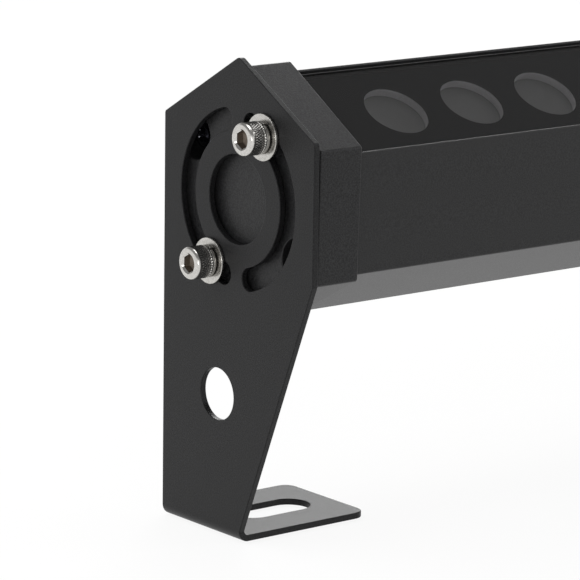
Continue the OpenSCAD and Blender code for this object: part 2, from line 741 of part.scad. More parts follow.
// Cable gland on the pivot axis of the right cap, drawn with the cap face at X 0 and outwards -X
module gland_frame() at_right() lamp_frame() translate([cap_face, 0, 0]) children();
module gland_body() color("#232325") gland_frame() difference() {
    union() {
        rod_x(-gland_washer_t, gland_washer_t + gland_shank_len, gland_shank_r);
        along_x(-gland_hex_out, gland_hex_t) hexagon(gland_flats);
        rod_x(-gland_neck_out, gland_neck_len, gland_neck_r);
    }
    rod_x(-gland_neck_out - overrun, gland_neck_out + gland_shank_len + 2 * overrun, cable_r + shank_gap);
    rod_x(-gland_neck_out - overrun, gland_neck_len + overrun, seal_r + thread_gap);
}
module gland_washer() color("#151517") gland_frame() difference() {
    rod_x(-gland_washer_t, gland_washer_t, gland_washer_r);
    rod_x(-gland_washer_t - overrun, gland_washer_t + 2 * overrun, gland_shank_r + thread_gap);
}
module gland_lock_nut() color("#c0a860") gland_frame() difference() {
    along_x(cap_floor, lock_nut_t) hexagon(lock_nut_flats);
    rod_x(cap_floor - overrun, lock_nut_t + 2 * overrun, gland_shank_r + thread_gap);
}
module gland_seal() color("#101012") gland_frame() difference() {
    rod_x(-gland_neck_out, gland_neck_len, seal_r);
    rod_x(-gland_neck_out - overrun, gland_neck_len + 2 * overrun, cable_r);
}
// The nut's profile, turned about the axis of the gland: a sleeve with a domed outer end
module gland_nut() color("#262628") gland_frame() rotate([0, -90, 0]) rotate_extrude() difference() {
    union() {
        translate([0, gland_nut_in]) square([gland_nut_r, gland_nut_len - gland_dome_r]);
        translate([0, gland_nut_in]) square([gland_nut_r - gland_dome_r, gland_nut_len]);
        translate([gland_nut_r - gland_dome_r, gland_nut_out - gland_dome_r]) circle(gland_dome_r);
    }
    translate([0, gland_nut_in - overrun])
        square([gland_neck_r + thread_gap, gland_neck_out - gland_nut_in + overrun]);
    translate([0, gland_nut_in]) square([cable_r + shank_gap, gland_nut_len + overrun]);
}

bracket_left();
bracket_right();
end_cap_left();
end_cap_right();
cap_gasket_left();
cap_gasket_right();
cap_screws_left();
cap_screws_right();
pivot_bolts_left();
pivot_bolts_right();
spring_washers_left();
spring_washers_right();
flat_washers_left();
flat_washers_right();
housing_extrusion();
front_glass();
glass_strips();
glass_sealant();
window_mask();
lenses();
lens_holders();
led_packages();
led_board();
board_screws();
driver_board();
transformer();
transformer_winding();
capacitors();
film_capacitor();
choke();
heat_sink();
transistors();
terminal_block();
lead_wires();
gland_body();
gland_washer();
gland_lock_nut();
gland_seal();
gland_nut();
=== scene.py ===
import json
import math

import bmesh
import bpy
import numpy as np
from mathutils import Matrix, Vector
from mathutils.geometry import tessellate_polygon


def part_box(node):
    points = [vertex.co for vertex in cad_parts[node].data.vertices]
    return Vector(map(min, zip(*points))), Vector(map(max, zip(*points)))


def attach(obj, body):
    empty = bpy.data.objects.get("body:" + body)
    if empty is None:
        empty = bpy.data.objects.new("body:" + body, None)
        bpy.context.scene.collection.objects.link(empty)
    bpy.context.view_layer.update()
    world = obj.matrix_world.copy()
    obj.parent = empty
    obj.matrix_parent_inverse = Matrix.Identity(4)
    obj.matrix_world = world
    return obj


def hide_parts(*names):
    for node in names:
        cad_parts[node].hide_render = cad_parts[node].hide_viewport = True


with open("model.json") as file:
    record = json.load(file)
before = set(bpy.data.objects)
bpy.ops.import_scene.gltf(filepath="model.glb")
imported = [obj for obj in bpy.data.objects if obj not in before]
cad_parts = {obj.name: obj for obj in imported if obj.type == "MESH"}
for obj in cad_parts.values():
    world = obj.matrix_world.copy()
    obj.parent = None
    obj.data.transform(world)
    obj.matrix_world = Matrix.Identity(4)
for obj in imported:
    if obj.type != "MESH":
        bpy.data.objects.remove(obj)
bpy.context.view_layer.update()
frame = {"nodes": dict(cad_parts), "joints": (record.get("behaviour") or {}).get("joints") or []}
nodes = frame["nodes"]

# Outdoor wall washer light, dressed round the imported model.
# Pieces are worked out in millimetres and put into the frame in metres. The end frame's x runs
# inwards from the outer face of a bracket plate. In the lamp's frame p lies across the glass and
# q is the glass normal, both measured from the pivot axis.
mm = 0.001
pivot = next(j["pos_m"] for j in frame["joints"] if j["name"] == "lamp_tilt")
plateX = {"left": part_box("bracket_left")[0].x, "right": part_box("bracket_right")[1].x}
inwards = {"left": 1, "right": -1}
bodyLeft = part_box("housing_extrusion")[0].x / mm
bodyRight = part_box("housing_extrusion")[1].x / mm
lamp = {"aim": 31.5, "flats": 64.5, "innerFlats": 60.1, "innerCorner": 0.5, "topQ": 31.25, "pitch": 30.0,
        "count": 18}
pivotBoltQ = 23.95  # distance of a pivot bolt from the pivot axis
capScrewP = 29.24  # distance of a cap screw from the pivot axis
pivotBoltAt = [(0, -pivotBoltQ), (0, pivotBoltQ)]
capScrewAt = [(-capScrewP, 0), (capScrewP, 0)]
overrun = 1.0  # how far a cutting solid runs past the faces that it cuts
joinDistance = 0.0005  # points nearer than this are one point
tan30 = math.tan(math.radians(30))


def cornerOf(flats):
    # a hexagon's corners lie half its flats / cos 30 degrees from its middle
    return flats / 2 / math.cos(math.radians(30))


def halfWidthAt(flats, q):
    # from its side corners a hexagon narrows by tan 30 degrees
    return cornerOf(flats) - abs(q) * tan30


# Angles of the points along a quarter turn, both ends in, and round a full one
def quarterTurn(steps):
    return np.linspace(0, math.pi / 2, steps + 1)


def fullTurn(steps):
    return np.linspace(0, 2 * math.pi, steps, endpoint=False)


def triangleWave(v):
    # from 1 down to 0 and back to 1, once in each unit
    return np.abs(v % 1 * 2 - 1)


# Outlines: rows of points, anticlockwise round the material and clockwise round a hole
def roundCorners(points, radii, steps=6):
    # an arc touches both edges of a corner; its centre lies r / sin(half angle) along the middle line
    points = np.asarray(points, float)
    arcs = []
    for i, radius in enumerate(radii):
        at = points[i]
        if radius == 0:
            arcs.append(at[None])
            continue
        before = points[i - 1] - at
        after = points[(i + 1) % len(points)] - at
        before /= np.linalg.norm(before)
        after /= np.linalg.norm(after)
        half = math.acos(before @ after) / 2
        middle = before + after
        centre = at + middle / np.linalg.norm(middle) * radius / math.sin(half)
        first = at + before * radius / math.tan(half) - centre
        last = at + after * radius / math.tan(half) - centre
        start = math.atan2(first[1], first[0])
        turn = (math.atan2(last[1], last[0]) - start + math.pi) % (2 * math.pi) - math.pi
        angle = start + turn * np.linspace(0, 1, steps + 1)
        arcs.append(centre + radius * np.stack([np.cos(angle), np.sin(angle)], 1))
    return np.concatenate(arcs)


def arcPoints(centre, radius, fromAngle, toAngle, steps):
    # centre + r (cos t, sin t), t in degrees
    t = np.radians(np.linspace(fromAngle, toAngle, steps))
    return np.asarray(centre, float) + radius * np.stack([np.cos(t), np.sin(t)], 1)


def circleLoop(centre, radius, steps, hole=False):
    loop = arcPoints(centre, radius, 0, 360, steps + 1)[:-1]
    return loop[::-1] if hole else loop


def boxLoop(halfWidth, low, high):
    # anticlockwise from its low left corner
    return np.array([(-halfWidth, low), (halfWidth, low), (halfWidth, high), (-halfWidth, high)], float)


def hexLoop(flats, cornerRadius):
    # its first corner lies to the right
    return roundCorners(circleLoop((0, 0), cornerOf(flats), 6), [cornerRadius] * 6)


def insetLoop(loop, distance):
    # every corner moves along (n0 + n1) / (1 + n0.n1), which brings both its edges in by the distance
    before = loop - np.roll(loop, 1, 0)
    after = np.roll(loop, -1, 0) - loop
    before /= np.linalg.norm(before, axis=1)[:, None]
    after /= np.linalg.norm(after, axis=1)[:, None]
    n0 = np.stack([-before[:, 1], before[:, 0]], 1)
    n1 = np.stack([-after[:, 1], after[:, 0]], 1)
    return loop + distance * (n0 + n1) / (1 + (n0 * n1).sum(1))[:, None]


# Surfaces: a grid of points over two parameters, and the faces between them
def gridFaces(rows, columns, closeRows=False, closeColumns=True):
    r, c = np.meshgrid(np.arange(rows if closeRows else rows - 1),
                       np.arange(columns if closeColumns else columns - 1), indexing="ij")
    r1, c1 = (r + 1) % rows, (c + 1) % columns
    corners = [r * columns + c, r * columns + c1, r1 * columns + c1, r1 * columns + c]
    return np.stack(corners, -1).reshape(-1, 4)


def slab(loops, thickness, edge=0.0, steps=4):
    # outlines carried through a thickness: along each rounded edge a loop moves in by e (1 - sin t)
    # while it rises by e (1 - cos t), so that (loop parameter, edge parameter) gives the wall
    t = quarterTurn(steps) if edge else np.zeros(1)
    inset, rise = edge * (1 - np.sin(t)), edge * (1 - np.cos(t))
    insets, rises = np.r_[inset, inset[::-1]], np.r_[rise, thickness - rise[::-1]]
    points, faces, low, high, start = [], [], [], [], 0
    for loop in loops:
        wall = np.stack([insetLoop(loop, d) for d in insets])
        height = np.broadcast_to(rises[:, None, None], wall.shape[:2] + (1,))
        points.append(np.concatenate([wall, height], -1).reshape(-1, 3))
        faces += (gridFaces(len(rises), len(loop)) + start).tolist()
        low.append(start + np.arange(len(loop)))
        start += len(points[-1])
        high.append(start - len(loop) + np.arange(len(loop)))
    points, low, high = np.concatenate(points), np.concatenate(low), np.concatenate(high)
    ends = np.cumsum([0] + [len(loop) for loop in loops])
    rims = [[Vector(v) for v in points[low[a:b]].tolist()] for a, b in zip(ends[:-1], ends[1:])]
    triangles = np.array(tessellate_polygon(rims))
    faces += low[triangles][:, ::-1].tolist() + high[triangles].tolist()
    return points, faces


def ringPoints(x, r, turn, centre=(0, 0)):
    # x, p0 + r cos t, q0 + r sin t
    p, q = centre[0] + r * np.cos(turn), centre[1] + r * np.sin(turn)
    return np.stack([np.broadcast_to(x, p.shape), p, q], -1).reshape(-1, 3)


def turned(profile, centre=(0, 0), steps=96, ring=False):
    # a profile (x, radius) turned about a line along x
    profile = np.asarray(profile, float)
    points = ringPoints(profile[:, :1], profile[:, 1:], fullTurn(steps), centre)
    return points, gridFaces(len(profile), steps, closeRows=ring).tolist()


def alongLamp(points, start=0.0):
    # a slab's (across, up, thickness) becomes (x, p, q)
    return np.stack([points[:, 2] + start, points[:, 0], points[:, 1]], 1)


def prism(loops, start, end, edge=0.0):
    # outlines across the lamp, carried along it
    points, faces = slab(loops, end - start, edge)
    return alongLamp(points, start), faces


def together(solids):
    # several solids as one
    points, faces, start = [], [], 0
    for corners, sides in solids:
        points.append(corners)
        faces += [[i + start for i in side] for side in sides]
        start += len(corners)
    return np.concatenate(points), faces


def makeMesh(name, solid):
    points, faces = solid
    mesh = bpy.data.meshes.new(name)
    mesh.from_pydata(points.tolist(), [], faces)
    piece = bpy.data.objects.new(name, mesh)
    bpy.context.scene.collection.objects.link(piece)
    closeUp(mesh)
    return piece


def closeUp(mesh):
    # seams and poles are joined and the faces turned outwards
    form = bmesh.new()
    form.from_mesh(mesh)
    bmesh.ops.remove_doubles(form, verts=form.verts, dist=joinDistance)
    bmesh.ops.dissolve_degenerate(form, edges=form.edges, dist=joinDistance)
    bmesh.ops.recalc_face_normals(form, faces=form.faces)
    form.to_mesh(mesh)
    form.free()


def combine(piece, solids, operation="DIFFERENCE"):
    # each solid is cut from the piece, or added to it, and then removed
    for solid in solids:
        tool = solid if isinstance(solid, bpy.types.Object) else makeMesh("tool", solid)
        cut = piece.modifiers.new("cut", "BOOLEAN")
        cut.operation, cut.solver, cut.object = operation, "MANIFOLD", tool
        bpy.context.view_layer.update()
        shaped = bpy.data.meshes.new_from_object(piece.evaluated_get(bpy.context.evaluated_depsgraph_get()))
        piece.modifiers.clear()
        piece.data = shaped
        bpy.data.objects.remove(tool)


def moved(mesh, formula):
    # one formula moves all the points of a mesh at once
    points = np.empty(len(mesh.vertices) * 3, np.float32)
    mesh.vertices.foreach_get("co", points)
    mesh.vertices.foreach_set("co", formula(points.reshape(-1, 3).astype(float)).astype(np.float32).ravel())
    mesh.update()


def faceValues(mesh, kind):
    # the centre or the normal of every face, one row each
    values = np.empty(len(mesh.polygons) * 3, np.float32)
    mesh.polygons.foreach_get(kind, values)
    return values.reshape(-1, 3)


def lampTurned(points):
    # y = p cos a - q sin a and z = p sin a + q cos a, from the pivot axis
    aim = math.radians(lamp["aim"])
    y = points[:, 1] * math.cos(aim) - points[:, 2] * math.sin(aim)
    z = points[:, 1] * math.sin(aim) + points[:, 2] * math.cos(aim)
    return np.stack([points[:, 0], pivot[1] / mm + y, pivot[2] / mm + z], 1)


def dress(piece, materials, body, replaced, end=None, inLamp=True, sharp=30):
    # the points go from the lamp's or an end's frame, mirrored at the right end, into the shared one,
    # and the piece gets its materials, its body and the nodes that it replaces
    def toFrame(points):
        points = lampTurned(points) if inLamp else points
        if end:
            points = points * [inwards[end], 1, 1] + [plateX[end] / mm, 0, 0]
        return points * mm
    moved(piece.data, toFrame)
    if end == "right":
        piece.data.flip_normals()
    piece.data.shade_smooth()
    piece.data.set_sharp_from_angle(angle=math.radians(sharp))
    piece.data.materials.clear()
    for material in materials:
        piece.data.materials.append(material)
    piece.modifiers.new("flatFacesFirst", "WEIGHTED_NORMAL").keep_sharp = True
    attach(piece, body)
    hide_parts(*replaced)


# Materials
def colour(hexCode):
    # sRGB hex to linear light
    value = np.array([int(hexCode[i:i + 2], 16) for i in (1, 3, 5)]) / 255
    linear = np.where(value <= 0.04045, value / 12.92, ((value + 0.055) / 1.055) ** 2.4)
    return (*linear.tolist(), 1.0)


def addNode(tree, kind, settings=None, inputs=None):
    # an input that is another node's socket is linked, and any other is set
    node = tree.nodes.new("ShaderNode" + kind)
    for key, value in (settings or {}).items():
        setattr(node, key, value)
    for key, value in (inputs or {}).items():
        if isinstance(value, bpy.types.NodeSocket):
            tree.links.new(value, node.inputs[key])
        else:
            node.inputs[key].default_value = value
    return node


def newMaterial(name, inputs):
    material = bpy.data.materials.new(name)
    material.use_nodes = True
    tree = material.node_tree
    shader = tree.nodes["Principled BSDF"]
    for key, value in inputs.items():
        shader.inputs[key].default_value = value
    return material, tree, shader


def objectPlace(tree):
    return addNode(tree, "TexCoord").outputs["Object"]


def mixedColours(tree, factor, first, second):
    mix = addNode(tree, "Mix", {"data_type": "RGBA"}, {0: factor, 6: colour(first), 7: colour(second)})
    return mix.outputs[2]


def raisedBy(tree, shader, height, distance):
    # relief whose depth is the distance in mm
    relief = addNode(tree, "Bump", None, {"Height": height, "Distance": distance * mm, "Strength": 1.0})
    tree.links.new(relief.outputs["Normal"], shader.inputs["Normal"])


grainNoise = {"detail": 2.0, "low": 0.35, "high": 0.68}  # most of the noise lies between low and high


def grained(name, dark, light, grain, depth, rough, roughChange=0.08, metallic=0.0, specular=0.5):
    # a fine random grain, its size and depth in mm: its colour, its roughness and its relief all
    # follow one noise
    material, tree, shader = newMaterial(name, {"Metallic": metallic, "Specular IOR Level": specular})
    noise = addNode(tree, "TexNoise", None, {"Vector": objectPlace(tree), "Scale": 1 / (grain * mm),
                                             "Detail": grainNoise["detail"]}).outputs["Fac"]
    shade = addNode(tree, "MapRange", None, {0: noise, 1: grainNoise["low"], 2: grainNoise["high"]})
    tree.links.new(mixedColours(tree, shade.outputs[0], dark, light), shader.inputs["Base Color"])
    gloss = addNode(tree, "MapRange", None, {0: noise, 3: rough - roughChange, 4: rough + roughChange})
    tree.links.new(gloss.outputs[0], shader.inputs["Roughness"])
    raisedBy(tree, shader, noise, depth)
    return material


print("materials")
# Polyester powder coat on steel, baked from a fine textured powder: near black and satin, with single
# grains that catch the light
texturedCoatSteel = grained("black_powder_coat_fine_texture_on_steel", "#0e0e0f", "#262627",
                            grain=0.4, depth=0.04, rough=0.4, roughChange=0.1, specular=0.2)
# The same coat on die-cast caps: a shade paler, with a slightly coarser grain
texturedCoatCast = grained("black_powder_coat_fine_texture_on_casting", "#161617", "#2e2e2f",
                           grain=0.45, depth=0.04, rough=0.4, roughChange=0.1, specular=0.22)
# The same coat on extruded aluminium: its relief is the lowest and it shines a little more
texturedCoatBar = grained("black_powder_coat_fine_texture_on_extrusion", "#101011", "#242425",
                          grain=0.4, depth=0.032, rough=0.4, roughChange=0.1, specular=0.3)
# Cold-headed stainless steel, tumbled: bright, with soft reflections and small rough spots
stainless = grained("stainless_steel_cold_headed", "#c2c0bc", "#d3d1cd",
                    grain=0.5, depth=0.003, rough=0.22, roughChange=0.06, metallic=1.0)
# Broached inside the heads: painted shade, duller and a little brown, that stands in for the shade in the
# deep socket
shadedSocketSteel = grained("stainless_steel_socket_painted_shade", "#8d857c", "#9c948b",
                   grain=0.4, depth=0.006, rough=0.45, metallic=1.0)
# Stamped stainless washers: a little duller on the faces
stamped = grained("stainless_steel_stamped", "#b7b5b1", "#cdcbc7",
                  grain=0.8, depth=0.004, rough=0.27, roughChange=0.06, metallic=1.0)
# Coiled spring steel, a shade darker than the washers beside it
coiled = grained("stainless_spring_steel_coiled", "#94928e", "#a8a6a2",
                 grain=0.6, depth=0.004, rough=0.36, roughChange=0.06, metallic=1.0)
# Black oxide on alloy steel: an oiled dark metal that still gives sharp glints
blackOxide = grained("black_oxide_on_alloy_steel", "#4c4c50", "#626268",
                     grain=0.6, depth=0.003, rough=0.24, roughChange=0.05, metallic=1.0)
# Moulded glass-filled nylon: dark and satin with a slight haze
nylon = grained("black_nylon_moulded", "#161617", "#1f1f20", grain=0.7, depth=0.006, rough=0.42)
# Moulded silicone: matt and soft
rubber = grained("black_silicone_cured", "#0b0b0c", "#131314",
                 grain=0.9, depth=0.008, rough=0.65, roughChange=0.05, specular=0.25)
# Silicone run into the joint beside the glass and cured in air: smooth, with a soft gloss
sealant = grained("black_silicone_sealant_cured", "#101011", "#171718",
                  grain=1.4, depth=0.004, rough=0.3, roughChange=0.05)
# Sponge silicone under the edges of the glass: painted light, a shade paler than the beads, that lifts it out
# of the shade of the bead and the lip
paleLitStrip = grained("black_silicone_sponge_painted_lighter", "#1c1c1e", "#27272a",
                    grain=0.6, depth=0.01, rough=0.6, roughChange=0.05, specular=0.3)
# Black ABS behind the glass, from a mould eroded to a fine grain: flat and dark
maskPlastic = grained("black_abs_satin_moulded", "#0b0b0c", "#121213",
                      grain=0.3, depth=0.004, rough=0.6, roughChange=0.05, specular=0.25)
# The same part's window walls: painted light, a pale grey that stands in for the light on the upright walls
# and shows as a lighter crescent
litWindowWall = grained("window_wall_painted_light_grey", "#8f8d90", "#9d9b9e", grain=0.4, depth=0.004, rough=0.5)
# Frosted moulded acrylic lens over a dark holder: a flat dark grey disc while the lamp is off
frostedLens = grained("frosted_acrylic_lens", "#262526", "#2e2d2e",
                      grain=0.3, depth=0.003, rough=0.45, roughChange=0.05)
# Ceramic ink, printed on the inner face of the glass and fired: a deep even black under the reflection
firedInk = grained("black_ceramic_ink_fired_on_glass", "#0b0b0c", "#101011",
                   grain=0.4, depth=0.001, rough=0.6, roughChange=0.05, specular=0.0)
# Toughened float glass: clear, with polished faces
glass = newMaterial("toughened_float_glass", {"Base Color": colour("#f7f7f7"), "Roughness": 0.0, "IOR": 1.5,
                                              "Transmission Weight": 1.0})[0]
# Silicone filled with phosphor, cast over the chips: smooth, half glossy and yellow
phosphor = grained("silicone_with_yellow_phosphor", "#e2bf3d", "#ecd058", grain=0.3, depth=0.003, rough=0.28)
# White solder mask printed on the aluminium board: bright and smooth
whiteMask = grained("white_solder_mask_on_aluminium", "#dededa", "#ebebe8",
                    grain=0.8, depth=0.003, rough=0.35)
# Green solder mask printed on glass fibre board: dark green, and glossier than the white one
greenMask = grained("green_solder_mask_on_glass_fibre", "#12482a", "#1a5a36",
                    grain=0.8, depth=0.005, rough=0.3)
# Zinc plated steel screws: a pale cool metal that blurs what it reflects
zinc = grained("zinc_plated_steel_screw", "#a9abad", "#c3c5c7",
               grain=0.5, depth=0.003, rough=0.3, roughChange=0.06, metallic=1.0)
# Ferrite, pressed and sintered: dark, brownish and matt
ferrite = grained("ferrite_sintered", "#2b2927", "#3a3735", grain=0.5, depth=0.01, rough=0.6)
# PVC sleeve, shrunk over the cans: dark blue and smooth
shrinkSleeve = grained("pvc_shrink_sleeve", "#1a1f30", "#232a40", grain=1.2, depth=0.003, rough=0.28)
# Epoxy that the capacitor was dipped in: ochre, with a soft gloss
epoxyCase = grained("ochre_epoxy_dipped_case", "#a67528", "#bd8a38", grain=1.0, depth=0.01, rough=0.32)
# Aluminium as it leaves the press: pale, with blurred reflections
millAluminium = grained("aluminium_mill_finish", "#b4b6b8", "#cbcdcf",
                        grain=0.7, depth=0.006, rough=0.34, metallic=1.0)
# Epoxy moulded round the transistors: black and matt
epoxyMould = grained("black_epoxy_moulded", "#18181a", "#222224", grain=0.5, depth=0.006, rough=0.5)
# Polyamide moulded for the terminals: green and half matt
terminalPlastic = grained("green_polyamide_moulded", "#2c6b42", "#35794d", grain=0.6, depth=0.005, rough=0.45)
# Brass turned on a lathe: warm and bright
turnedBrass = grained("brass_turned", "#b7985a", "#cbae70",
                      grain=0.4, depth=0.004, rough=0.28, roughChange=0.06, metallic=1.0)
winding = {"wire": 0.5, "relief": 0.1, "rough": 0.3}
waveRadians = 20  # the wave texture runs through 20 radians in a unit of length


def woundCopper():
    # Enamelled copper laid turn by turn: a dark and a bright stripe to each wire, painted shade and painted
    # highlight of the round wires, for which the scale is 2 pi / 20 over the wire's thickness
    material, tree, shader = newMaterial("enamelled_copper_wound_painted_shade_bands",
                                         {"Metallic": 1.0, "Roughness": winding["rough"]})
    scale = 2 * math.pi / waveRadians / (winding["wire"] * mm)
    wireShadeAndRelief = addNode(tree, "TexWave", {"bands_direction": "X"},
                    {"Vector": objectPlace(tree), "Scale": scale}).outputs["Fac"]
    # painted highlight on each wire's crown and painted shade where the wires meet; the same wave gives the
    # relief
    tree.links.new(mixedColours(tree, wireShadeAndRelief, "#7d431c", "#c77d3f"), shader.inputs["Base Color"])
    raisedBy(tree, shader, wireShadeAndRelief, winding["relief"])
    return material


sleeve = {"haze": 0.8, "relief": 0.01, "rough": 0.35}


def wireSleeves():
    # PVC insulation, moulded round the strands: the lead on the back side is red and the other black
    material, tree, shader = newMaterial("pvc_wire_insulation", {"Roughness": sleeve["rough"]})
    place = objectPlace(tree)
    across = addNode(tree, "SeparateXYZ", None, {0: place}).outputs["Y"]
    isBack = addNode(tree, "Math", {"operation": "GREATER_THAN"}, {0: across, 1: pivot[1]}).outputs[0]
    tree.links.new(mixedColours(tree, isBack, "#171718", "#a51c1c"), shader.inputs["Base Color"])
    haze = addNode(tree, "TexNoise", None, {"Vector": place, "Scale": 1 / (sleeve["haze"] * mm)})
    raisedBy(tree, shader, haze.outputs["Fac"], sleeve["relief"])
    return material


copperWinding, wirePlastic = woundCopper(), wireSleeves()

print("brackets")
sheet = {"thickness": 2.0, "width": 72.0, "bend": 3.5, "shoulderUp": 21.6, "roof": 30.0, "slantStart": 20.5,
         "footWidth": 39.0, "footLength": 49.5, "footCorner": 4.0, "apexRadius": 2.0, "shoulderRadius": 1.0,
         "middleHole": 13.5, "slotWidth": 7.0, "slotFrom": 15.0, "slotSweep": 150.0, "cableHole": 8.0,
         "cableBack": 8.8, "cableUp": 43.8, "footSlotWidth": 13.0, "footSlotLength": 27.5, "footSlotEnd": 8.5,
         "edge": 0.3, "bendStrips": 10, "cutTolerance": 1e-5, "arcSteps": 64, "slotEndSteps": 25,
         "footSlotSteps": 33, "holeSteps": 96}
pivotUp = pivot[2] / mm
bendLength = (sheet["bend"] - sheet["thickness"] / 2) * math.pi / 2  # developed on the middle of the sheet


def arcSlotLoop(turn):
    # two arcs about the pivot joined by half circles, turned half a turn for the second slot
    centre, reach, half = (0, pivotUp - sheet["bend"]), pivotBoltQ, sheet["slotWidth"] / 2
    start = 90 + sheet["slotFrom"] + turn
    end = start + sheet["slotSweep"]
    firstEnd = arcPoints(centre, reach, start, start, 1)[0]
    lastEnd = arcPoints(centre, reach, end, end, 1)[0]
    return np.concatenate([
        arcPoints(centre, reach + half, start, end, sheet["arcSteps"]),
        arcPoints(lastEnd, half, end, end + 180, sheet["slotEndSteps"])[1:-1],
        arcPoints(centre, reach - half, end, start, sheet["arcSteps"]),
        arcPoints(firstEnd, half, start + 180, start + 360, sheet["slotEndSteps"])[1:-1]])[::-1]


def blankLoops():
    # the sheet before it is bent: the foot hangs below the line b = 0, past the bend's developed length
    back, front = sheet["width"] / 2, -sheet["width"] / 2
    footFront = back - sheet["footWidth"]
    footEnd = -bendLength - (sheet["footLength"] - sheet["bend"])
    shoulder = pivotUp + sheet["shoulderUp"] - sheet["bend"]
    apex = shoulder + back * math.tan(math.radians(sheet["roof"]))
    corners = [(footFront, footEnd), (back, footEnd), (back, shoulder), (0, apex), (front, shoulder),
               (front, pivotUp - sheet["slantStart"] - sheet["bend"]), (footFront, 0)]
    radii = [sheet["footCorner"]] * 2 + [sheet["shoulderRadius"], sheet["apexRadius"]]
    outline = roundCorners(corners, radii + [sheet["shoulderRadius"]] * 3)
    half = sheet["footSlotWidth"] / 2
    middle = (footFront + back) / 2
    slotLow = footEnd + sheet["footSlotEnd"] + half
    slotHigh = slotLow + sheet["footSlotLength"] - 2 * half
    footSlot = np.concatenate([arcPoints((middle, slotHigh), half, 0, 180, sheet["footSlotSteps"]),
                               arcPoints((middle, slotLow), half, 180, 360, sheet["footSlotSteps"])])[::-1]
    middleHole = circleLoop((0, pivotUp - sheet["bend"]), sheet["middleHole"], sheet["holeSteps"], hole=True)
    cableHole = circleLoop((sheet["cableBack"], sheet["cableUp"] - sheet["bend"]), sheet["cableHole"],
                           sheet["holeSteps"], hole=True)
    return [outline, middleHole, arcSlotLoop(0), arcSlotLoop(180), cableHole, footSlot]


def folded(points):
    # b above 0 stands up as the plate; from 0 to -L it turns through t = -b/L of a right angle on
    # radius R = bend - w; below -L it runs on as the foot. w is the depth from the outer face.
    a, b, w = points.T
    t = np.clip(-b / bendLength, 0, 1) * math.pi / 2
    radius = sheet["bend"] - w
    x = sheet["bend"] - radius * np.cos(t) + np.clip(-b - bendLength, 0, None)
    z = sheet["bend"] - radius * np.sin(t) + np.clip(b, 0, None)
    return np.stack([x, pivot[1] / mm + a, z], 1)


def bentBracket(side):
    piece = makeMesh("bracket_sheet_" + side, slab(blankLoops(), sheet["thickness"], sheet["edge"]))
    # the strip that bends is cut across into rows, and then folds
    form = bmesh.new()
    form.from_mesh(piece.data)
    for share in np.linspace(0, 1, sheet["bendStrips"] + 1):
        bmesh.ops.bisect_plane(form, geom=form.verts[:] + form.edges[:] + form.faces[:],
                               dist=sheet["cutTolerance"],
                               plane_co=(0, -bendLength * share, 0), plane_no=(0, 1, 0))
    form.to_mesh(piece.data)
    form.free()
    moved(piece.data, folded)
    closeUp(piece.data)
    dress(piece, [texturedCoatSteel], side + "_bracket", ["bracket_" + side], side,
          inLamp=False)


for side in inwards:
    bentBracket(side)

print("end caps")
cap = {"flats": 68.9, "face": 3.2, "depth": 15.5, "floor": 4.5, "lap": 0.5, "gasket": 1.5, "corner": 1.0,
       "edge": 0.6, "pad": 6.2, "padTop": 2.1, "pocket": 7.3, "pocketDepth": 8.0, "mouth": 0.4,
       "boltBore": 3.05, "boltReach": 14.5, "screwBore": 2.75, "boss": 6.2, "wall": 2.2, "seatGap": 0.1,
       "seatCorner": 0.8, "glandBore": 8.05, "glandMouth": 0.3, "blockHalf": 18.4, "blockLow": 23.15,
       "blockHigh": 40.0}


def boreX(start, end, radius, centre, mouth=0.0):
    # a straight bore that starts one overrun outside the face, where its mouth opens by a quarter round
    face = start + overrun
    profile = [(start, 0), (start, radius + mouth)]
    if mouth:
        profile += [(face + mouth * (1 - math.cos(a)), radius + mouth * (1 - math.sin(a)))
                    for a in quarterTurn(6)]
    profile += [(face + mouth, radius), (end, radius), (end, 0)]
    return turned(profile, centre)


def endCap(side):
    face = cap["face"]
    back = face + cap["depth"]
    past = back + 2 * overrun
    body = prism([hexLoop(cap["flats"], cap["corner"])], face, back, cap["edge"])
    piece = makeMesh("end_cap_cast_" + side, body)
    # the plate of the bracket lies on two pads
    combine(piece, [boreX(cap["padTop"], face + overrun, cap["pad"], at) for at in pivotBoltAt], "UNION")
    # the hollow leaves a column round each bolt and screw, and a block behind the end of the glass
    room = prism([hexLoop(lamp["innerFlats"], lamp["innerCorner"])], face + cap["floor"], back + overrun)
    hollow = makeMesh("hollow", room)
    columns = [boreX(face, past, cap["boss"], at) for at in pivotBoltAt]
    columns += [boreX(face, past, cap["pocket"] + cap["wall"], at) for at in capScrewAt]
    columns.append(prism([boxLoop(cap["blockHalf"], cap["blockLow"], cap["blockHigh"])], face, past))
    combine(hollow, columns)
    seatLoop = hexLoop(lamp["flats"] + 2 * cap["seatGap"], cap["seatCorner"])
    cuts = [hollow, prism([seatLoop], back - cap["lap"] - cap["gasket"], back + overrun)]
    cuts += [boreX(cap["padTop"] - overrun, cap["boltReach"], cap["boltBore"], at) for at in pivotBoltAt]
    pocketEnd = face + cap["pocketDepth"]
    cuts += [boreX(face - overrun, pocketEnd, cap["pocket"], at, cap["mouth"]) for at in capScrewAt]
    cuts += [boreX(face, back + overrun, cap["screwBore"], at) for at in capScrewAt]
    if side == "right":
        cuts.append(boreX(face - overrun, back, cap["glandBore"], (0, 0), cap["glandMouth"]))
    combine(piece, cuts)
    dress(piece, [texturedCoatCast], "lamp", ["end_cap_" + side], side)


for side in inwards:
    endCap(side)

print("housing")
bar = {"lip": 0.8, "seat": 25.15, "ledgeBottom": 23.15, "opening": 15.4, "webTop": 8.75, "webBottom": 5.75,
       "corner": 0.8, "lipRadius": 0.3, "channelRadius": 0.2, "ledgeRadius": 0.3, "webRadius": 0.5,
       "port": 5.0, "screwBore": 2.55, "ribTop": -14.35, "ribBottom": -16.15, "rib": 1.5, "ribEnd": 22.03,
       "ribRoot": 20.0, "webHalf": 60.0}
channelHalf = halfWidthAt(lamp["flats"], lamp["topQ"]) - bar["lip"]


def alongBar(loop, spare=0.0):
    # an outline carried through the bar and past its ends
    return prism([loop], bodyLeft - spare, bodyRight + spare)


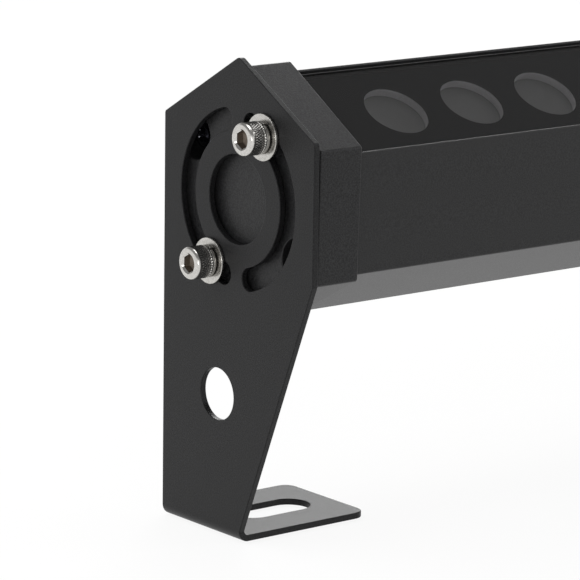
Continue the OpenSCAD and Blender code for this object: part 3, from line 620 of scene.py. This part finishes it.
def housing():
    # right half of the section from the bottom corner round to the middle of the floor, then mirrored
    half = [(cornerOf(lamp["flats"]) / 2, -lamp["flats"] / 2), (cornerOf(lamp["flats"]), 0),
            (channelHalf + bar["lip"], lamp["topQ"]), (channelHalf, lamp["topQ"]), (channelHalf, bar["seat"]),
            (bar["opening"], bar["seat"]), (bar["opening"], bar["ledgeBottom"]),
            (halfWidthAt(lamp["innerFlats"], bar["ledgeBottom"]), bar["ledgeBottom"]),
            (halfWidthAt(lamp["innerFlats"], bar["webTop"]), bar["webTop"])]
    radii = [bar["corner"]] * 2 + [bar["lipRadius"]] * 2 + [bar["channelRadius"]]
    radii += [bar["ledgeRadius"]] * 3 + [bar["webRadius"]]
    outline = roundCorners(half + [(-p, q) for p, q in half[::-1]], radii + radii[::-1], steps=5)
    piece = makeMesh("housing_bar", alongBar(outline))
    # the cavity ends under the web, and leaves the screw ports and two ribs at each side
    cavity = makeMesh("cavity", alongBar(hexLoop(lamp["innerFlats"], lamp["innerCorner"]), overrun))
    walls = [alongBar(boxLoop(bar["webHalf"], bar["webBottom"], bar["webHalf"]), 2 * overrun)]
    walls += [boreX(bodyLeft - 2 * overrun, bodyRight + 2 * overrun, bar["port"], at) for at in capScrewAt]
    for s in (-1, 1):
        for low in (bar["ribTop"], bar["ribBottom"] - bar["rib"]):
            rib = boxLoop(bar["ribRoot"], low, low + bar["rib"]) + [s * (bar["ribEnd"] + bar["ribRoot"]), 0]
            walls.append(alongBar(rib, 2 * overrun))
    combine(cavity, walls)
    bores = [boreX(bodyLeft - overrun, bodyRight + overrun, bar["screwBore"], at) for at in capScrewAt]
    combine(piece, [cavity] + bores)
    dress(piece, [texturedCoatBar], "lamp", ["housing_extrusion"])


housing()

print("glass and windows")
# the beads beside the pane cling to it, so they overlap it by the dip
pane = {"half": 17.9, "low": 25.97, "high": 29.95, "endGap": 0.3, "arris": 0.12, "beadDip": 0.12,
        "dip": 0.13, "lap": 0.04}
ink = {"thickness": 0.05, "dip": 0.01, "windowSteps": 96}
mask = {"half": 15.1, "low": 23.25, "high": 25.75, "window": 10.3, "windowSteps": 72, "rim": 0.15,
        "border": 1.0, "lean": 0.5}
lens = {"radius": 11.0, "cone": 9.8, "foot": 4.4, "pocket": 2.4, "pocketDepth": 4.0, "top": 23.15,
        "rim": 1.0, "height": 11.4}
firstWindow = -(lamp["count"] - 1) * lamp["pitch"] / 2
windowX = firstWindow + lamp["pitch"] * np.arange(lamp["count"])

paneLoop = roundCorners(boxLoop(pane["half"], pane["low"], pane["high"]), [pane["arris"]] * 4, steps=3)
paneSolid = prism([paneLoop], bodyLeft + pane["endGap"], bodyRight - pane["endGap"], pane["arris"])
dress(makeMesh("glass_pane", paneSolid), [glass], "lamp", ["front_glass"])


def windowStrip(name, halfLength, halfWidth, low, thickness, windowSteps, edge=0.0):
    # a strip along the bar with one round window over each light source
    windows = [circleLoop((x, 0), mask["window"], windowSteps, hole=True) for x in windowX]
    outline = boxLoop(halfLength, -halfWidth, halfWidth)
    piece = makeMesh(name, slab([outline] + windows, thickness, edge, steps=2))
    moved(piece.data, lambda points: points + [0, 0, low])
    return piece


def inkPrint():
    # a film over the whole inner face of the glass but for the windows, sunk into it by the dip
    halfWidth = pane["half"] - pane["arris"]
    piece = windowStrip("glass_ink_print", bodyRight - pane["endGap"], halfWidth,
                        pane["low"] + ink["dip"] - ink["thickness"], ink["thickness"], ink["windowSteps"])
    dress(piece, [firedInk], "lamp", ["front_glass"])


inkPrint()


def sealantBeads():
    # a bead between each lip and the glass whose top dips by d (1 - u^2), u running from -1 to 1 across
    u = np.linspace(1, -1, 9)
    inner, outer = pane["half"] - pane["dip"], channelHalf + pane["lap"]
    middle, half = (inner + outer) / 2, (outer - inner) / 2
    top = np.stack([middle + u * half, pane["high"] + pane["lap"] - pane["beadDip"] * (1 - u ** 2)], 1)
    loop = np.concatenate([[(inner, bar["seat"]), (outer, bar["seat"])], top])
    return together([alongBar(loop), alongBar((loop * [-1, 1])[::-1])])


dress(makeMesh("sealant_beads", sealantBeads()), [sealant], "lamp", ["glass_sealant"])


def windowMask():
    # a face that leans little off upright, away from the strip's border, is the wall of a window and takes
    # the painted light grey
    piece = windowStrip("window_mask_strip", bodyRight, mask["half"], mask["low"], mask["high"] - mask["low"],
                        mask["windowSteps"], mask["rim"])
    isUpright = np.abs(faceValues(piece.data, "normal")[:, 2]) < mask["lean"]
    isInside = np.abs(faceValues(piece.data, "center")[:, 1]) < mask["half"] - mask["border"]
    dress(piece, [maskPlastic, litWindowWall], "lamp", ["window_mask"])
    piece.data.polygons.foreach_set("material_index", (isUpright & isInside).astype(np.int32))


windowMask()


def lensRow():
    # a solid cone with a rim and a pocket in its foot, turned about q and repeated along the bar
    top, rim, bottom = lens["top"], lens["top"] - lens["rim"], lens["top"] - lens["height"]
    pocketTop = bottom + lens["pocketDepth"]
    profile = [(pocketTop, 0), (pocketTop, lens["pocket"]), (bottom, lens["pocket"]), (bottom, lens["foot"]),
               (rim, lens["cone"]), (rim, lens["radius"]), (top, lens["radius"]), (top, 0)]
    cone, faces = turned(profile, steps=64)
    standing = cone[:, [1, 2, 0]]
    return together([(standing + [x, 0, 0], faces) for x in windowX])


dress(makeMesh("lens_row", lensRow()), [frostedLens], "lamp", ["lenses"])

print("fasteners")
pivotBolt = {"shank": 3.0, "length": 16.0, "head": 5.0, "height": 6.0, "key": 5.0, "pitch": 1.0, "ridges": 40,
             "ridge": 0.2, "crossing": 0.735, "face": -2.5, "fillet": 1.15, "plainLip": 1.7, "sink": 0.5}
capScrew = {"shank": 2.5, "length": 20.0, "head": 4.25, "height": 5.0, "key": 4.0, "pitch": 0.8, "ridges": 36,
            "ridge": 0.17, "crossing": 0.8, "face": 11.2, "fillet": 0.7, "plainLip": 1.2, "sink": 0.4}
# alike on both screws; the shares are of the head's height, the key and the pitch
screwForm = {"socketShare": 0.45, "socketPoint": 0.7, "countersink": 0.3, "knurlFrom": 0.2, "knurlTo": 0.75,
             "knurlRows": 17, "rimFrom": 0.6, "rimTo": 0.2, "neck": 0.2, "neckTo": 1.2, "threadShare": 0.6,
             "threadRows": 5, "threadStop": 0.8, "tipFrom": 0.6, "tipStep": 0.1, "tip": 0.7, "wallShare": 0.6,
             "wallFrom": 0.1, "sharpAngle": 22}
washers = {"flatR": 7.0, "flatT": 1.0, "springR": 4.9, "springT": 1.4, "bore": 3.25, "gap": 0.1, "split": 0.8,
           "rise": 0.5, "edge": 0.18, "springEdge": 0.22}


def plain(x, radius):
    # a row of a screw or a gland piece that is a bare circle
    return (x, radius, 0, 0, 0)


def hexagonAt(flats, turn):
    # a hexagon's radius is half its flats / cos(turn from the middle of a flat)
    return flats / 2 / np.cos(turn % (math.pi / 3) - math.pi / 6)


def socketScrew(s, centre, columns=240):
    # stations from the bottom of the socket, over the head and down the shank. The radius at (station,
    # turn) is a circle or, in the socket, a hexagon. The head's side has a knurl, half the sum of two
    # triangle waves that cross, and the shank a triangle wave that climbs with the turn for its thread.
    form, head, shank, end = screwForm, s["head"], s["shank"], s["length"]
    face, fillet, corner = -s["height"], s["fillet"], cornerOf(s["key"])
    socketEnd = face + s["height"] * form["socketShare"]
    knurlX = np.linspace(face + s["plainLip"] + form["knurlFrom"], -form["knurlTo"], form["knurlRows"])
    threadStep = s["pitch"] / form["threadRows"]
    threadX = np.arange(form["neckTo"] + threadStep, end - form["threadStop"], threadStep)
    # x, radius, and 1 where the row is in the socket, in the knurl or in the thread
    rows = [plain(socketEnd + form["socketPoint"], 0), (socketEnd, corner, 1, 0, 0),
            (face + s["sink"], corner, 1, 0, 0), plain(face, corner + form["countersink"])]
    rows += [plain(face + fillet * (1 - math.cos(a)), head - fillet * (1 - math.sin(a)))
             for a in quarterTurn(5)]
    rows.append(plain(face + s["plainLip"], head))
    rows += [(x, head, 0, 1, 0) for x in knurlX]
    rows += [plain(-form["rimFrom"], head), plain(-form["rimTo"], head), plain(0, head - form["rimTo"]),
             plain(0, shank + form["neck"]), plain(form["neck"], shank), plain(form["neckTo"], shank)]
    rows += [(x, shank, 0, 0, 1) for x in threadX]
    rows += [plain(end - form["tipFrom"], shank - form["tipStep"]), plain(end, shank - form["tip"]),
             plain(end, 0)]
    turn = fullTurn(columns)
    x, radius, isSocket, isRidged, isThread = np.array(rows, float).T[:, :, None]
    across, along = turn * s["ridges"] / (2 * math.pi), x * s["crossing"]
    knurl = (triangleWave(across + along) + triangleWave(across - along)) / 2
    climb = triangleWave(x / s["pitch"] - turn / (2 * math.pi))
    r = np.where(isSocket > 0, hexagonAt(s["key"], turn), radius) - isRidged * s["ridge"] * knurl
    r = r - isThread * form["threadShare"] * s["pitch"] * climb
    return ringPoints(x + s["face"], r, turn, centre), gridFaces(len(rows), columns).tolist()


def screwPair(name, s, centres, finish, inSocket, replaced, side):
    # two screws in one piece; what lies near a key's axis, below the countersink, is socket wall
    piece = makeMesh(name, together([socketScrew(s, centre) for centre in centres]))
    at = faceValues(piece.data, "center")
    fromAxis = np.min([np.hypot(at[:, 1] - p, at[:, 2] - q) for p, q in centres], axis=0)
    depth = at[:, 0] - (s["face"] - s["height"])
    isNear = fromAxis < s["key"] * screwForm["wallShare"]
    isSocket = isNear & (depth > s["sink"] + screwForm["wallFrom"]) & (depth < s["height"])
    dress(piece, [finish, inSocket], "lamp", [replaced], side,
          sharp=screwForm["sharpAngle"])
    # the socket wall takes the second finish, which is painted socket shade on the pivot bolts
    piece.data.polygons.foreach_set("material_index", isSocket.astype(np.int32))


def roundedSection(x0, x1, r0, r1, edge):
    # a rectangle of (x, radius) with rounded corners
    return roundCorners([(x0, r0), (x1, r0), (x1, r1), (x0, r1)], [edge] * 4, steps=3)


def springWasher(centre, columns=90):
    # a rounded section carried round an open turn; it climbs by the rise from one end to the other
    halfSplit = washers["split"] / 2 / washers["springR"]
    turn = np.linspace(math.pi / 2 + halfSplit, 2.5 * math.pi - halfSplit, columns)
    start = -washers["gap"] - washers["flatT"] - washers["springT"]
    section = roundedSection(start, start + washers["springT"] - washers["rise"], washers["bore"],
                             washers["springR"], washers["springEdge"])
    x = section[:, :1] + washers["rise"] * np.linspace(0, 1, columns)
    points = ringPoints(x, section[:, 1:], turn, centre)
    rim = np.arange(len(section)) * columns
    ends = [rim.tolist(), (rim + columns - 1)[::-1].tolist()]
    return points, gridFaces(len(section), columns, closeRows=True, closeColumns=False).tolist() + ends


def flatWasher(centre):
    # a rounded section carried round a closed turn
    section = roundedSection(-washers["gap"] - washers["flatT"], -washers["gap"], washers["bore"],
                             washers["flatR"], washers["edge"])
    return turned(section, centre, ring=True)


def washerPair(name, washer, finish, replaced, side):
    # one on each pivot bolt
    pair = together([washer(centre) for centre in pivotBoltAt])
    dress(makeMesh(name, pair), [finish], "lamp", [replaced], side)


for side in inwards:
    screwPair("pivot_bolt_pair_" + side, pivotBolt, pivotBoltAt, stainless, shadedSocketSteel,
              "pivot_bolts_" + side, side)
    screwPair("cap_screw_pair_" + side, capScrew, capScrewAt, blackOxide, blackOxide,
              "cap_screws_" + side, side)
    washerPair("spring_washer_pair_" + side, springWasher, coiled, "spring_washers_" + side, side)
    washerPair("flat_washer_pair_" + side, flatWasher, stamped, "flat_washers_" + side, side)

print("cable gland")
# measured outwards from the face of the right cap
gland = {"shank": 8.0, "shankLength": 10.0, "flats": 19.0, "hexFrom": 1.5, "hexTo": 6.5, "chamfer": 0.7,
         "chamferDrop": 1.4, "neck": 7.6, "neckTo": 15.5, "bore": 4.3, "seal": 6.2, "pitch": 1.5,
         "thread": 0.5, "threadRows": 6, "threadIn": 0.8, "threadTo": 0.9, "tip": 0.6, "nutFrom": 6.8,
         "nutTo": 18.8, "nut": 9.6, "slack": 0.1, "edge": 0.3, "dome": 3.0, "grips": 16, "grip": 0.5,
         "gripFrom": 0.9, "gripFull": 1.3, "gripTo": 14.2, "gripFade": 0.5}


def glandPiece(rows, columns=192, flats=0.0):
    # rows of (g, r, isHexagon, isGripped, isThreaded), closed into a ring and turned about the axis.
    # A hexagonal row's radius is the lesser of r and the hexagon's, which leaves the turned chamfer at
    # the corners; grips are sin^4 hollows; a thread climbs by a pitch in each turn.
    turn = fullTurn(columns)
    g, radius, isHexagon, isGripped, isThreaded = np.array(rows, float).T[:, :, None]
    hollow = gland["grip"] * np.sin(turn * gland["grips"] / 2) ** 4
    climb = triangleWave(g / gland["pitch"] - turn / (2 * math.pi))
    r = np.where(isHexagon > 0, np.minimum(radius, hexagonAt(flats, turn)), radius)
    r = r - isGripped * hollow - isThreaded * gland["thread"] * climb
    return ringPoints(cap["face"] - g, r, turn), gridFaces(len(rows), columns, closeRows=True).tolist()


def glandBody():
    # thread, hexagon and neck, with the bore and the seal's seat inside
    shank, bore, seal, neck = (gland[key] for key in ("shank", "bore", "seal", "neck"))
    low, high, chamfer, tip = gland["hexFrom"], gland["hexTo"], gland["chamfer"], -gland["shankLength"]
    corner = cornerOf(gland["flats"])
    chamfered = corner - gland["chamferDrop"]
    threads = np.arange(tip + gland["threadIn"], gland["threadTo"], gland["pitch"] / gland["threadRows"])
    rows = [plain(tip, bore), plain(tip, shank - gland["tip"])]
    rows += [(g, shank, 0, 0, 1) for g in threads]
    rows += [plain(low, shank), (low, chamfered, 1, 0, 0), (low + chamfer, corner, 1, 0, 0),
             (high - chamfer, corner, 1, 0, 0), (high, chamfered, 1, 0, 0), plain(high, neck),
             plain(gland["neckTo"], neck), plain(gland["neckTo"], seal), plain(high, seal), plain(high, bore)]
    return glandPiece(rows, flats=gland["flats"])


def glandNut():
    # a gripped sleeve whose dome is a quarter circle
    start, end, dome, outside, edge = (gland[key] for key in ("nutFrom", "nutTo", "dome", "nut", "edge"))
    inside, shoulder = gland["neck"] + gland["slack"], gland["neckTo"] + gland["slack"]
    rows = [plain(start, inside), plain(start, outside - edge), plain(start + edge, outside),
            plain(start + gland["gripFrom"], outside), (start + gland["gripFull"], outside, 0, 1, 0),
            (gland["gripTo"], outside, 0, 1, 0), plain(gland["gripTo"] + gland["gripFade"], outside)]
    rows += [plain(end - dome * (1 - math.sin(a)), outside - dome * (1 - math.cos(a)))
             for a in quarterTurn(8)]
    rows += [plain(end, gland["bore"] + edge), plain(end - edge, gland["bore"]),
             plain(shoulder, gland["bore"]), plain(shoulder, inside)]
    return glandPiece(rows)


dress(makeMesh("gland_body_moulded", glandBody()), [nylon], "lamp", ["gland_body"], "right")
dress(makeMesh("gland_nut_domed", glandNut()), [nylon], "lamp", ["gland_nut"], "right")

print("carried nodes")
finishes = {
    "cap_gasket_left": rubber, "cap_gasket_right": rubber, "glass_strips": paleLitStrip,
    "lens_holders": maskPlastic, "led_packages": phosphor, "led_board": whiteMask, "board_screws": zinc,
    "driver_board": greenMask, "transformer": ferrite, "transformer_winding": copperWinding,
    "choke": copperWinding, "capacitors": shrinkSleeve, "film_capacitor": epoxyCase,
    "heat_sink": millAluminium, "transistors": epoxyMould, "terminal_block": terminalPlastic,
    "lead_wires": wirePlastic, "gland_seal": rubber, "gland_washer": rubber, "gland_lock_nut": turnedBrass,
}
for name, finish in finishes.items():
    nodes[name].data.materials.clear()
    nodes[name].data.materials.append(finish)

print("stage")
# metres and watts, but the floor's gap is in mm
studio = {"floor": "#f2f2f1", "floorRough": 0.9, "floorSize": 12, "floorGap": 0.2, "floorGlow": 0.9,
          "sky": 0.4, "horizon": 1.0, "zenith": 0.28, "dimFrom": 0.2, "dimTo": 0.58, "aim": (-0.25, 0, 0.1)}
softBoxes = {
    "overhead_soft_box": {"place": (-0.1, 0.0, 1.8), "size": 1.1, "power": 11.0, "isMirrored": True},
    "left_soft_box": {"place": (-0.75, 0.3, 0.5), "size": 0.7, "power": 2.7, "isMirrored": False},
    "camera_side_soft_box": {"place": (-1.3, -1.0, 0.25), "size": 0.35, "power": 2.0, "isMirrored": True},
    "back_soft_box": {"place": (0.83, 1.12, 1.0), "size": 0.8, "power": 12.0, "isMirrored": True},
    "front_soft_box": {"place": (1.24, -1.25, 1.29), "size": 0.8, "power": 6.5, "isMirrored": True},
}
white = (1, 1, 1, 1)


def backdropRays(tree):
    # 1 for the rays that see the backdrop as white: from the camera, off gloss and through glass
    path, greater = addNode(tree, "LightPath").outputs, {"operation": "MAXIMUM"}
    seen = addNode(tree, "Math", greater, {0: path["Is Camera Ray"], 1: path["Is Glossy Ray"]}).outputs[0]
    return addNode(tree, "Math", greater, {0: seen, 1: path["Is Transmission Ray"]}).outputs[0]


def layFloor():
    # just under the feet, pale above and clear from below, so that the feet can be seen from there
    bpy.ops.mesh.primitive_plane_add(size=studio["floorSize"], location=(0, 0, -studio["floorGap"] * mm))
    floor = bpy.context.object
    floor.name = "studio_floor"
    paint, tree, shader = newMaterial(
        "pale_studio_floor", {"Base Color": colour(studio["floor"]), "Roughness": studio["floorRough"]})
    share = addNode(tree, "Math", {"operation": "MULTIPLY"}, {0: backdropRays(tree), 1: studio["floorGlow"]})
    glow = addNode(tree, "Emission", None, {"Color": white, "Strength": 1.0})
    above = addNode(tree, "MixShader", None, {0: share.outputs[0], 1: shader.outputs[0], 2: glow.outputs[0]})
    isBelow = addNode(tree, "NewGeometry").outputs["Backfacing"]
    clear = addNode(tree, "BsdfTransparent")
    sides = addNode(tree, "MixShader", None, {0: isBelow, 1: above.outputs[0], 2: clear.outputs[0]})
    tree.links.new(sides.outputs[0], tree.nodes["Material Output"].inputs["Surface"])
    floor.data.materials.append(paint)


def hangBackdrop():
    # a white backdrop that dims overhead, where the studio has no screen; the sky that lights the
    # object is weaker
    world = bpy.data.worlds.new("studio")
    bpy.context.scene.world = world
    world.use_nodes = True
    sky = world.node_tree
    sky.nodes.clear()
    rise = addNode(sky, "SeparateXYZ", None, {0: addNode(sky, "TexCoord").outputs["Generated"]}).outputs["Z"]
    screen = addNode(sky, "MapRange", {"interpolation_type": "SMOOTHSTEP"},
                     {0: rise, 1: studio["dimFrom"], 2: studio["dimTo"], 3: studio["horizon"],
                      4: studio["zenith"]})
    lit = addNode(sky, "Background", None, {"Color": white, "Strength": studio["sky"]})
    seen = addNode(sky, "Background", None, {"Color": white, "Strength": screen.outputs[0]})
    both = addNode(sky, "MixShader", None, {0: backdropRays(sky), 1: lit.outputs[0], 2: seen.outputs[0]})
    addNode(sky, "OutputWorld", None, {"Surface": both.outputs[0]})


def softLight(name, box):
    # a square soft box that faces the bracket. The camera doesn't see it, nor do metal and glass unless
    # it is mirrored.
    data = bpy.data.lights.new(name, "AREA")
    data.size, data.energy = box["size"], box["power"]
    light = bpy.data.objects.new(name, data)
    bpy.context.scene.collection.objects.link(light)
    light.location = box["place"]
    facing = Vector(studio["aim"]) - Vector(box["place"])
    light.rotation_euler = facing.to_track_quat("-Z", "Y").to_euler()
    light.visible_camera = False
    light.visible_glossy = box["isMirrored"]
    light.visible_transmission = box["isMirrored"]


layFloor()
hangBackdrop()
for name, box in softBoxes.items():
    softLight(name, box)

print("camera")
# metres and degrees; the lens and its sensor are in mm
view = {"place": (-0.92695, -0.82393, 0.29858), "azimuth": -38.585, "elevation": 12.229, "roll": 0.834,
        "lens": 218.84, "sensor": 36}
cameraData = bpy.data.cameras.new("camera")
cameraData.lens, cameraData.sensor_width = view["lens"], view["sensor"]
camera = bpy.data.objects.new("camera", cameraData)
bpy.context.scene.collection.objects.link(camera)
pose = Matrix.Translation(view["place"])
for degrees, axis in [(view["azimuth"], "Z"), (90 - view["elevation"], "X"), (view["roll"], "Z")]:
    pose = pose @ Matrix.Rotation(math.radians(degrees), 4, axis)
camera.matrix_world = pose
bpy.context.scene.camera = camera
bpy.context.scene.view_settings.view_transform = "Standard"
